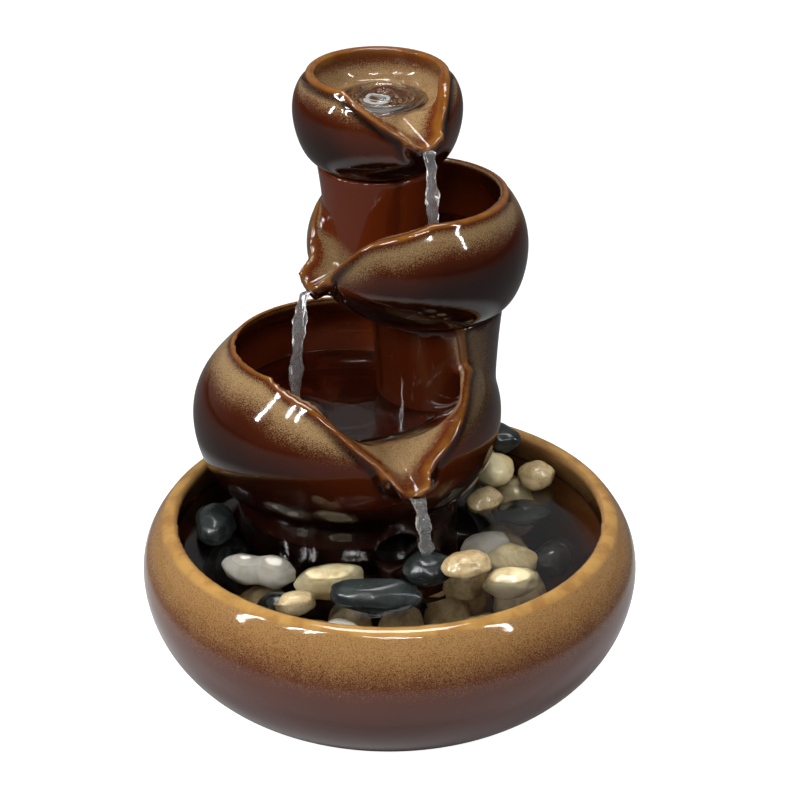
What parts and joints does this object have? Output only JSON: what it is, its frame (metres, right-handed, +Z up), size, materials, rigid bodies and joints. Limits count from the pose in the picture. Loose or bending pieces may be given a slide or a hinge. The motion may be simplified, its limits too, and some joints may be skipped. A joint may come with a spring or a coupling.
{
  "type": "tabletop water fountain",
  "caption": "Brown glazed tabletop fountain: stacked spouted vessels spill into a round pebble basin over a small pump.",
  "frame": {"origin": "under the middle of the basin, on the surface it stands on", "axes": "+Z up, -Y towards the viewer of the picture, +X to the viewer's right"},
  "size_m": [0.2096, 0.2032, 0.254],
  "materials": {
    "glaze": "glossy brown glaze, amber on the rims, speckled tan below them",
    "black_stone": "polished",
    "white_stone": "polished",
    "cream_stone": "polished",
    "tan_stone": "polished",
    "clear_tube": "clear soft tube",
    "pump_plastic": "black moulded",
    "dial_plastic": "dark grey moulded",
    "rubber": "soft black",
    "core_steel": "laminated",
    "copper": "enamelled winding",
    "resin": "potting resin",
    "ferrite": "sintered",
    "shaft_ceramic": "ground"
  },
  "bodies": {
    "basin": {"back_bed_pebble": "tan_stone", "basin": "glaze", "black_pebble_1": "black_stone", "black_pebble_2": "black_stone", "black_pebble_3": "black_stone", "black_pebble_4": "black_stone", "black_pebble_5": "black_stone", "black_pebble_6": "black_stone", "black_pebble_7": "black_stone", "cable_gland": "rubber", "chamber_cover": "pump_plastic", "cream_pebble_1": "cream_stone", "cream_pebble_2": "cream_stone", "cream_pebble_3": "cream_stone", "cream_pebble_4": "cream_stone", "dark_pebble_1": "black_stone", "front_bush": "rubber", "impeller_shaft": "shaft_ceramic", "inner_bed_pebble_1": "tan_stone", "inner_bed_pebble_2": "tan_stone", "inner_bed_pebble_3": "tan_stone", "inner_bed_pebble_4": "tan_stone", "intake_strainer": "pump_plastic", "left_bed_pebble": "tan_stone", "motor_potting": "resin", "outer_bed_pebble_1": "tan_stone", "outer_bed_pebble_2": "tan_stone", "outer_bed_pebble_3": "tan_stone", "outer_bed_pebble_4": "tan_stone", "outer_bed_pebble_5": "tan_stone", "outer_bed_pebble_6": "tan_stone", "pump_housing": "pump_plastic", "rear_bush": "rubber", "seal_ring": "rubber", "stator_coil": "copper", "stator_core": "core_steel", "suction_cups": "rubber", "tan_pebble_1": "tan_stone", "tan_pebble_2": "tan_stone", "tan_pebble_3": "tan_stone", "tan_pebble_4": "tan_stone", "tan_pebble_5": "tan_stone", "white_pebble_1": "white_stone", "white_pebble_2": "white_stone", "white_pebble_3": "white_stone"},
    "tower": {"lower_vessel": "glaze", "middle_vessel": "glaze", "top_vessel": "glaze", "riser_tube": "clear_tube"},
    "rotor": {"impeller": "dial_plastic", "rotor_magnet": "ferrite"},
    "dial": {"flow_dial": "dial_plastic"}
  },
  "joints": [
    {"name": "tower_lift", "type": "slide", "parent": "basin", "child": "tower", "axis": [0, 0, 1], "range_m": [0, 0.12]},
    {"name": "impeller_spin", "type": "hinge", "parent": "basin", "child": "rotor", "pos_m": [-0.011, 0.022, 0.039], "axis": [0, 1, 0], "continuous": true},
    {"name": "flow_turn", "type": "hinge", "parent": "basin", "child": "dial", "pos_m": [-0.011, 0.002, 0.039], "axis": [0, 1, 0], "range_deg": [0, 90]}
  ]
}
